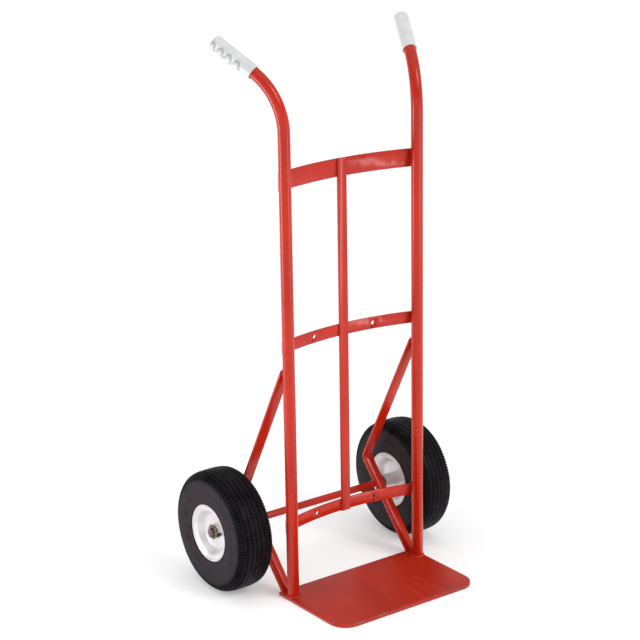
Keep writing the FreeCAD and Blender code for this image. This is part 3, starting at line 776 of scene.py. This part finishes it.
def make_tyre(word, side):
    """A pneumatic tyre with zig-zag ribs, a comb of lugs on each shoulder and ringed sidewalls."""
    columns = tread_columns() + shoulder_columns() + sidewall_columns()
    # Within one pitch: where the edges are, the zig-zag there, and whether a lug gap is there.
    edges = ((0.0, 1, 0), (0.08, 1, 1), (0.5, -1, 1), (0.58, -1, 0))
    sections = [(share, tyre_section(columns, zigzag, gap)) for share, zigzag, gap in edges]
    points = [
        on_wheel(side, across, radius, math.tau * (pitch + share) / PITCHES)
        for pitch in range(PITCHES)
        for share, section in sections
        for across, radius in section
    ]
    rows = PITCHES * len(edges)
    faces = grid_faces(rows, len(points) // rows, True, True)
    tyre = add_mesh(f"{word}_tyre_casing", points, faces)
    tyre.data.set_sharp_from_angle(angle=math.radians(38))
    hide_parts(f"{word}_tyre")
    finish_piece(tyre, f"{word}_wheel", RUBBER)


# ---------------------------------------------------------------- rims and valves

HUB_RADIUS = 14 * MM
RIM_SHEET = 2 * MM

# The outer face of a rim half, from the lip down to the disc: across and radius, in mm.
RIM_FACE = ((41.0, 61.9), (40.9, 59.8), (38.8, 57.4), (38.2, 54.5), (36.2, 48.5), (24.0, 38.0))


def make_rim(word, side, half, facing):
    """One stamped half with its rolled lip, dish wall and flat disc, welded to the hub."""
    fold_radius, weld_radius, steps = 3.2 * MM, 1.6 * MM, 144
    front = [(across * MM, radius * MM) for across, radius in RIM_FACE]
    back = [(across - RIM_SHEET, radius + RIM_SHEET / 3) for across, radius in front]
    disc = front[-1][0]
    outline = front + [(disc, HUB_RADIUS), (disc - RIM_SHEET, HUB_RADIUS)] + back[::-1]
    soft = rounded(outline, fold_radius)
    points = [
        on_wheel(side, facing * across, radius, turn)
        for turn in full_turn(steps)
        for across, radius in soft
    ]
    rim = add_mesh(f"{word}_rim_{half}_shell", points, grid_faces(steps, len(soft), True, True))
    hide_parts(f"{word}_rim_{half}_half")
    finish_piece(rim, f"{word}_wheel", SILVER)
    weld_bead(
        f"{word}_hub_{half}_weld",
        ring_path(on_wheel(side, facing * disc, 0, 0), Y, Z, HUB_RADIUS),
        weld_radius,
        body=f"{word}_wheel",
        material=SILVER,
    )


def make_valve_cap(word, side):
    """A ribbed cap over the end of the valve's stem."""
    name = f"{word}_valve_cap"
    centre, half = middle(name), extent(name) / 2
    ribs, steps, rib_height = 16, 64, 0.06
    smooth = 1 - rib_height
    # Along the cap from -1, its mouth, to 1, its closed end, and its share of the full radius.
    profile = (
        (-1, 0.72), (-1, 0.93), (-0.86, 1), (0.5, 1), (0.72, 0.94), (0.9, 0.7), (1, 0.4), (1, 0.02),
    )
    points = []
    for along, share in profile:
        for turn in full_turn(steps):
            rib = rib_height * math.cos(ribs * turn) if share > smooth else 0.0
            reach = half.z * (share * smooth + rib)
            spoke = Vector((0, math.cos(turn), math.sin(turn))) * reach
            points.append(centre + X * side * along * half.x + spoke)
    cap = add_mesh(f"{name}_ribbed", points, grid_faces(len(profile), steps, False, True))
    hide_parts(name)
    finish_piece(cap, f"{word}_wheel", CAP)


# ---------------------------------------------------------------- studio


def make_floor():
    """A pale seamless floor that also glows a little, as a lit studio sweep does."""
    radius, steps = 40.0, 96
    points = [(radius * math.cos(turn), radius * math.sin(turn), 0) for turn in full_turn(steps)]
    floor = add_mesh("studio_floor", points, [tuple(range(steps))])
    shader = Shader("floor", Roughness=0.9, Emission_Strength=0.26, Emission_Color=(1, 1, 1, 1))
    tone = shader.blend(shader.noise(1.5, detail=2), (0.80, 0.80, 0.80), (0.83, 0.83, 0.83))
    shader.put(shader.surface.inputs["Base Color"], tone)
    floor.data.materials.append(shader.material)


def make_world():
    """White at the horizon and overhead, dimmer between them."""
    # The sine of the height above the horizon, and how bright the sky is there.
    sky = ((0.0, 1.0), (0.12, 1.0), (0.26, 0.42), (0.55, 0.55), (0.95, 1.1))
    world = bpy.data.worlds.new("studio")
    bpy.context.scene.world = world
    world.use_nodes = True
    nodes, links = world.node_tree.nodes, world.node_tree.links
    place = nodes.new("ShaderNodeTexCoord").outputs["Generated"]
    split = nodes.new("ShaderNodeSeparateXYZ")
    brightness = nodes.new("ShaderNodeValToRGB")
    stops = brightness.color_ramp.elements
    stops.remove(stops[1])
    for height, strength in sky:
        stop = stops.new(height) if height else stops[0]
        stop.color = (strength, strength, strength, 1)
    links.new(place, split.inputs[0])
    links.new(split.outputs["Z"], brightness.inputs["Fac"])
    links.new(brightness.outputs["Color"], nodes["Background"].inputs["Strength"])
    nodes["Background"].inputs["Color"].default_value = (1, 1, 1, 1)


def add_strip(name, place, width, power):
    """A low upright strip of light that faces the truck."""
    light = bpy.data.lights.new(name, "AREA")
    light.shape = "RECTANGLE"
    light.size = width
    light.size_y = 0.95
    light.energy = power
    lamp = bpy.data.objects.new(name, light)
    lamp.location = place
    towards = Vector((0, 0, 0.5)) - Vector(place)
    lamp.rotation_euler = towards.to_track_quat("-Z", "Y").to_euler()
    bpy.context.scene.collection.objects.link(lamp)


def add_sun(name, azimuth, elevation, strength, spread):
    """Far light from that bearing, measured from the front towards the right, in degrees."""
    light = bpy.data.lights.new(name, "SUN")
    light.energy = strength
    light.angle = math.radians(spread)
    lamp = bpy.data.objects.new(name, light)
    lamp.rotation_euler = (math.radians(90 - elevation), 0, math.radians(azimuth))
    bpy.context.scene.collection.objects.link(lamp)


def make_lights():
    """A broad light from the front right, and two strips that draw the lines down the tubes."""
    add_sun("key", azimuth=18, elevation=38, strength=0.9, spread=24)
    add_strip("left_strip", place=(-1.50, 0.55, 0.5), width=0.24, power=10)
    add_strip("right_strip", place=(0.60, -1.48, 0.4), width=0.16, power=3.5)


def make_camera():
    """A long lens from the front left, a little above the middle of the truck."""
    azimuth, elevation, roll = math.radians(-36.2), math.radians(17.54), math.radians(-0.91)
    distance = 4.175
    target = Vector((-0.0873, UPRIGHT_Y, 0.6003))
    back = Vector((
        math.sin(azimuth) * math.cos(elevation),
        -math.cos(azimuth) * math.cos(elevation),
        math.sin(elevation),
    ))
    level = Vector((math.cos(azimuth), math.sin(azimuth), 0))
    upright = back.cross(level)
    right = level * math.cos(roll) + upright * math.sin(roll)
    up = upright * math.cos(roll) - level * math.sin(roll)
    data = bpy.data.cameras.new("camera")
    data.lens = 114.95
    data.clip_end = 200
    camera = bpy.data.objects.new("camera", data)
    bpy.context.scene.collection.objects.link(camera)
    camera.matrix_world = Matrix((right, up, back)).transposed().to_4x4()
    camera.location = target + back * distance
    bpy.context.scene.camera = camera


dress_frame()
weld_uprights()
weld_cross_members()
weld_brackets()
for word, side in SIDES:
    make_grip(word, side)
for word, side in SIDES:
    make_tyre(word, side)
    make_rim(word, side, "outer", 1)
    make_rim(word, side, "inner", -1)
    make_valve_cap(word, side)
make_floor()
make_world()
make_lights()
make_camera()
bpy.context.scene.view_settings.view_transform = "Standard"
